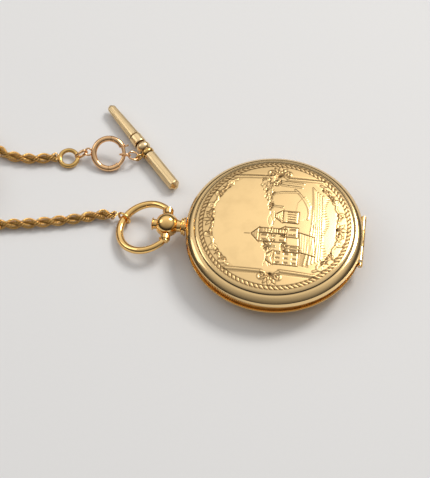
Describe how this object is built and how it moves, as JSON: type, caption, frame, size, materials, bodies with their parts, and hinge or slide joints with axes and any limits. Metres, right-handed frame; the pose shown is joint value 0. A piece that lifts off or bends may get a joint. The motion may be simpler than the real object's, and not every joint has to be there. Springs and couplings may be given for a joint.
{
  "type": "pocket watch",
  "caption": "Hunting-case pocket watch lying on its back, with a hinged engraved lid, ball pendant, swinging bow and a rope chain ending in a clasp and a T-bar.",
  "frame": {"origin": "on the case axis, at the flat of the back lid that the watch rests on", "axes": "+Z out of the dial and the front lid, -X to the pendant and bow, +X to the lid hinges, +Y to six o'clock"},
  "size_m": [0.1441, 0.066, 0.0119],
  "materials": {
    "yellow_gold": "polished yellow gold case metal",
    "rope_gold": "worn gold rope chain with dark recesses",
    "rose_gold": "polished rose gold",
    "gilt_brass": "frosted gilt",
    "polished_steel": "polished",
    "blued_steel": "heat blued",
    "crystal_glass": "clear",
    "dial_enamel": "white fired enamel"
  },
  "bodies": {
    "case": {"case_middle": "yellow_gold", "bezel": "yellow_gold", "crystal": "crystal_glass", "dust_cover": "yellow_gold", "front_hinge_pin": "polished_steel", "back_hinge_pin": "polished_steel", "lift_spring": "blued_steel", "pendant": "yellow_gold", "bow_screw_left": "yellow_gold", "bow_screw_right": "yellow_gold", "main_plate": "gilt_brass", "dial": "dial_enamel", "barrel_bridge": "gilt_brass", "train_bridge": "gilt_brass", "balance_cock": "gilt_brass", "pallet_cock": "gilt_brass", "barrel_bridge_screw": "blued_steel", "train_bridge_screw": "blued_steel", "balance_cock_screw": "blued_steel", "case_screw_1": "blued_steel", "case_screw_2": "blued_steel", "chain_run_to_bow": "rope_gold", "chain_coil": "rope_gold", "chain_run_to_fittings": "rope_gold", "jump_ring": "rose_gold", "swivel_link": "rose_gold", "clasp_ring": "rose_gold", "clasp_link": "rose_gold", "bar_link": "rose_gold", "toggle_collar": "rose_gold"},
    "front_lid": {"front_cover": "yellow_gold"},
    "back_lid": {"back_cover": "yellow_gold"},
    "bow": {"bow": "yellow_gold", "chain_end_ring": "yellow_gold"},
    "push": {"push_piece": "yellow_gold"},
    "lock_spring": {"lock_spring": "blued_steel"},
    "minute": {"cannon_pinion": "polished_steel", "minute_hand": "blued_steel"},
    "hour": {"hour_wheel": "gilt_brass", "hour_hand": "blued_steel"},
    "minute_wheel": {"minute_wheel": "gilt_brass"},
    "fourth": {"fourth_wheel": "gilt_brass", "seconds_hand": "blued_steel"},
    "third": {"third_wheel": "gilt_brass"},
    "centre": {"centre_wheel": "gilt_brass"},
    "escape": {"escape_wheel": "polished_steel"},
    "barrel": {"barrel": "gilt_brass", "barrel_cover": "gilt_brass", "mainspring": "blued_steel"},
    "winding": {"barrel_arbor": "polished_steel", "ratchet_wheel": "polished_steel"},
    "click": {"click": "polished_steel"},
    "pallet_fork": {"pallet_fork": "polished_steel"},
    "balance": {"balance_wheel": "gilt_brass", "hairspring": "blued_steel"},
    "regulator": {"regulator": "polished_steel"},
    "clasp_gate": {"clasp_gate": "rose_gold"},
    "toggle_bar": {"toggle_bar": "yellow_gold"}
  },
  "joints": [
    {"name": "front_lid_hinge", "type": "hinge", "parent": "case", "child": "front_lid", "pos_m": [0.02355, 0, 0.00725], "axis": [0, 1, 0], "range_deg": [0, 95]},
    {"name": "back_lid_hinge", "type": "hinge", "parent": "case", "child": "back_lid", "pos_m": [0.02355, 0, 0.00475], "axis": [0, -1, 0], "range_deg": [0, 95]},
    {"name": "bow_swing", "type": "hinge", "parent": "case", "child": "bow", "pos_m": [-0.0292, 0, 0.006], "axis": [0, 1, 0], "range_deg": [-60, 108]},
    {"name": "push_piece_slide", "type": "slide", "parent": "case", "child": "push", "axis": [1, 0, 0], "range_m": [0, 0.0008], "stiffness_N_per_m": 600, "springref_m": -0.001},
    {"name": "lock_spring_flex", "type": "hinge", "parent": "case", "child": "lock_spring", "pos_m": [-0.01766, 0.0126, 0.006], "axis": [0, 0, 1], "range_deg": [0, 3.4]},
    {"name": "minute_turn", "type": "hinge", "parent": "case", "child": "minute", "pos_m": [0, 0, 0.007], "axis": [0, 0, 1], "continuous": true},
    {"name": "hour_turn", "type": "hinge", "parent": "case", "child": "hour", "pos_m": [0, 0, 0.007], "axis": [0, 0, 1], "continuous": true},
    {"name": "minute_wheel_turn", "type": "hinge", "parent": "case", "child": "minute_wheel", "pos_m": [0.00228, -0.00395, 0.0065], "axis": [0, 0, 1], "continuous": true},
    {"name": "fourth_turn", "type": "hinge", "parent": "case", "child": "fourth", "pos_m": [0, 0.0095, 0.005], "axis": [0, 0, 1], "continuous": true},
    {"name": "third_turn", "type": "hinge", "parent": "case", "child": "third", "pos_m": [0.00514, 0.00504, 0.005], "axis": [0, 0, 1], "continuous": true},
    {"name": "centre_turn", "type": "hinge", "parent": "case", "child": "centre", "pos_m": [0, 0, 0.005], "axis": [0, 0, 1], "continuous": true},
    {"name": "escape_turn", "type": "hinge", "parent": "case", "child": "escape", "pos_m": [-0.00631, 0.00757, 0.005], "axis": [0, 0, 1], "continuous": true},
    {"name": "barrel_turn", "type": "hinge", "parent": "case", "child": "barrel", "pos_m": [0, -0.0099, 0.005], "axis": [0, 0, 1], "continuous": true},
    {"name": "winding_turn", "type": "hinge", "parent": "case", "child": "winding", "pos_m": [0, -0.0099, 0.003], "axis": [0, 0, 1], "continuous": true},
    {"name": "click_pivot", "type": "hinge", "parent": "case", "child": "click", "pos_m": [0.00583, -0.0117, 0.003], "axis": [0, 0, 1], "range_deg": [-8, 8]},
    {"name": "pallet_rock", "type": "hinge", "parent": "case", "child": "pallet_fork", "pos_m": [-0.0087, 0.00443, 0.005], "axis": [0, 0, 1], "range_deg": [-5, 5]},
    {"name": "balance_swing", "type": "hinge", "parent": "case", "child": "balance", "pos_m": [-0.0123, -0.0003, 0.0045], "axis": [0, 0, 1], "range_deg": [-270, 270], "stiffness_Nm_per_rad": 0.0000005},
    {"name": "regulator_turn", "type": "hinge", "parent": "case", "child": "regulator", "pos_m": [-0.0123, -0.0003, 0.0028], "axis": [0, 0, 1], "range_deg": [-25, 25]},
    {"name": "clasp_gate_slide", "type": "hinge", "parent": "case", "child": "clasp_gate", "pos_m": [-0.0483, 0.0242, 0.003], "axis": [0, -0.5, 0.866], "range_deg": [0, 42], "stiffness_Nm_per_rad": 0.0002, "springref_deg": -17.19},
    {"name": "toggle_bar_turn", "type": "hinge", "parent": "case", "child": "toggle_bar", "pos_m": [-0.03945, 0.02835, 0.002], "axis": [0.6405, -0.768, 0], "continuous": true}
  ],
  "couplings": [
    {"joint": "lock_spring_flex", "follows": "push_piece_slide", "rad_per_m": 71.4},
    {"joint": "hour_turn", "follows": "minute_turn", "ratio": 0.083333},
    {"joint": "minute_wheel_turn", "follows": "minute_turn", "ratio": -0.33333},
    {"joint": "third_turn", "follows": "fourth_turn", "ratio": -0.13333},
    {"joint": "centre_turn", "follows": "fourth_turn", "ratio": 0.016667},
    {"joint": "barrel_turn", "follows": "fourth_turn", "ratio": -0.0020833},
    {"joint": "escape_turn", "follows": "fourth_turn", "ratio": -10}
  ]
}
